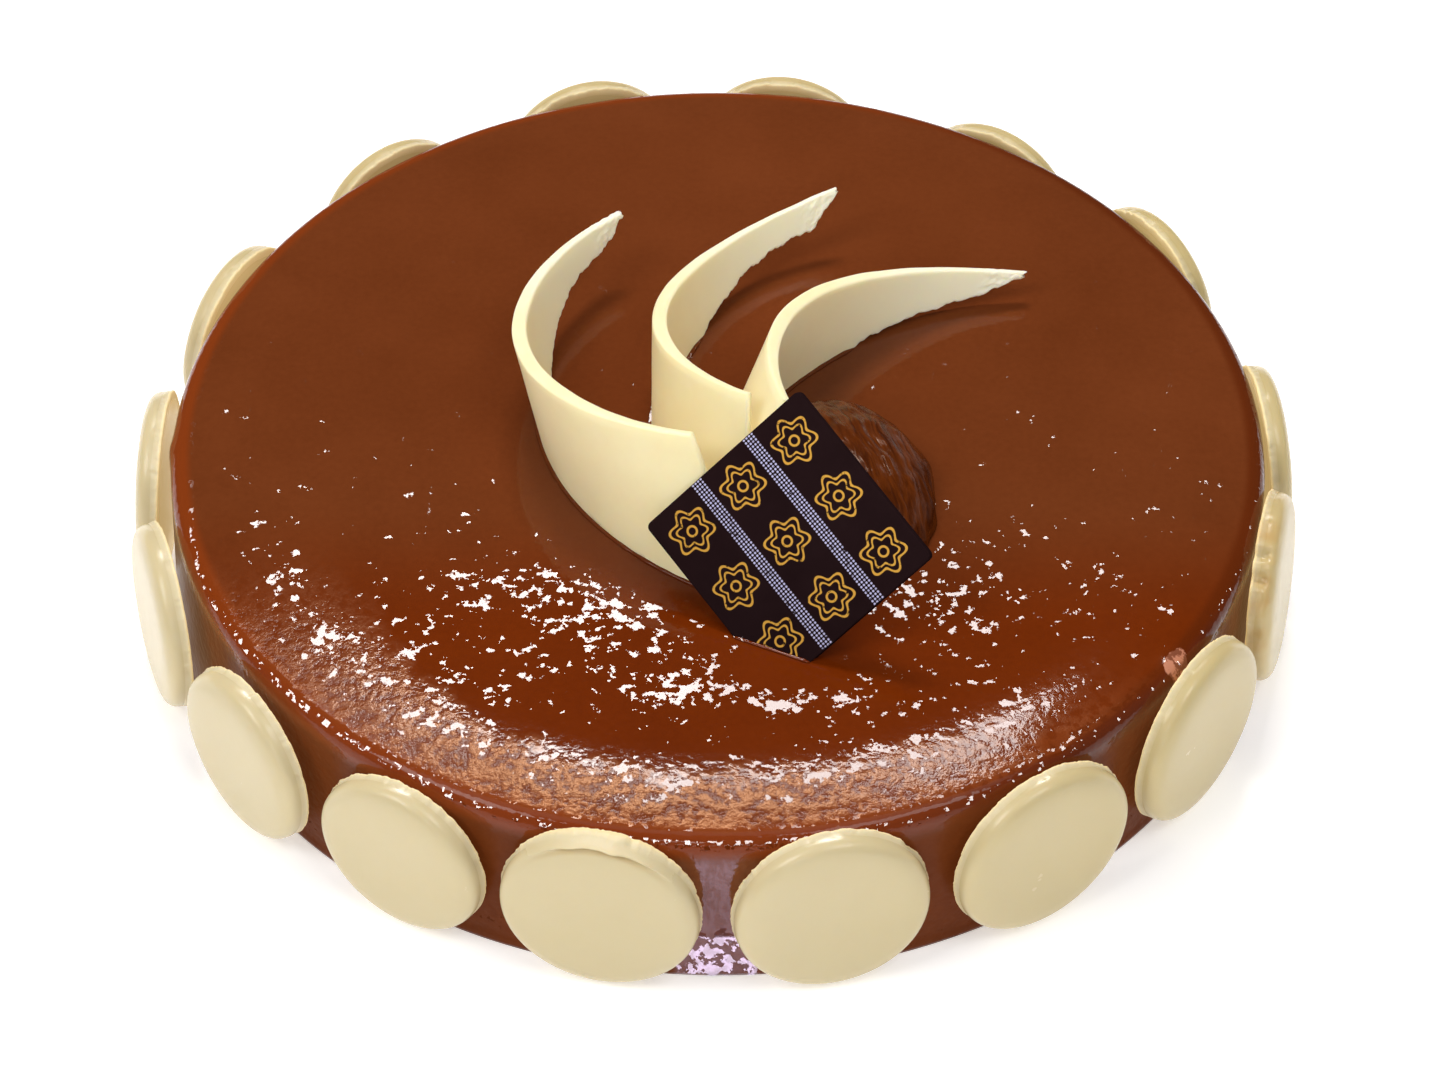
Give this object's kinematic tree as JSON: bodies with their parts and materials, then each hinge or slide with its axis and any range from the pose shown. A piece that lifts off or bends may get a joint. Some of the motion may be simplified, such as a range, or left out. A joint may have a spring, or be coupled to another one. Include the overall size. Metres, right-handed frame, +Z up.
{
  "type": "decorated chocolate cake",
  "caption": "Round chocolate cake under a glossy poured glaze, ringed by white chocolate discs, with a fan of white chocolate curls, a leaning dark chocolate plaque and a ganache mound on top.",
  "frame": {"origin": "centre of the cake's flat underside, on the surface it stands on", "axes": "+Z up; the plaque and the front of the cake face -Y, +X is to the right of a viewer in front"},
  "size_m": [0.2382, 0.2377, 0.0779],
  "materials": {
    "glaze": "glossy milk chocolate glaze with a fine ripple",
    "white_chocolate": "moulded white chocolate, soft satin gloss",
    "curl_chocolate": "cut white chocolate strip, satin, with crumbly lower edges",
    "dark_chocolate": "thin dark chocolate with a printed pattern of gold and pale lilac cocoa butter",
    "ganache": "smeared glossy ganache"
  },
  "bodies": {
    "root": {"cake_body": "glaze", "disc_01": "white_chocolate", "disc_02": "white_chocolate", "disc_03": "white_chocolate", "disc_04": "white_chocolate", "disc_05": "white_chocolate", "disc_06": "white_chocolate", "disc_07": "white_chocolate", "disc_08": "white_chocolate", "disc_09": "white_chocolate", "disc_10": "white_chocolate", "disc_11": "white_chocolate", "disc_12": "white_chocolate", "disc_13": "white_chocolate", "disc_14": "white_chocolate", "disc_15": "white_chocolate", "disc_16": "white_chocolate", "curl_1": "curl_chocolate", "curl_2": "curl_chocolate", "curl_3": "curl_chocolate", "plaque": "dark_chocolate", "ganache_mound": "ganache"}
  },
  "joints": []
}
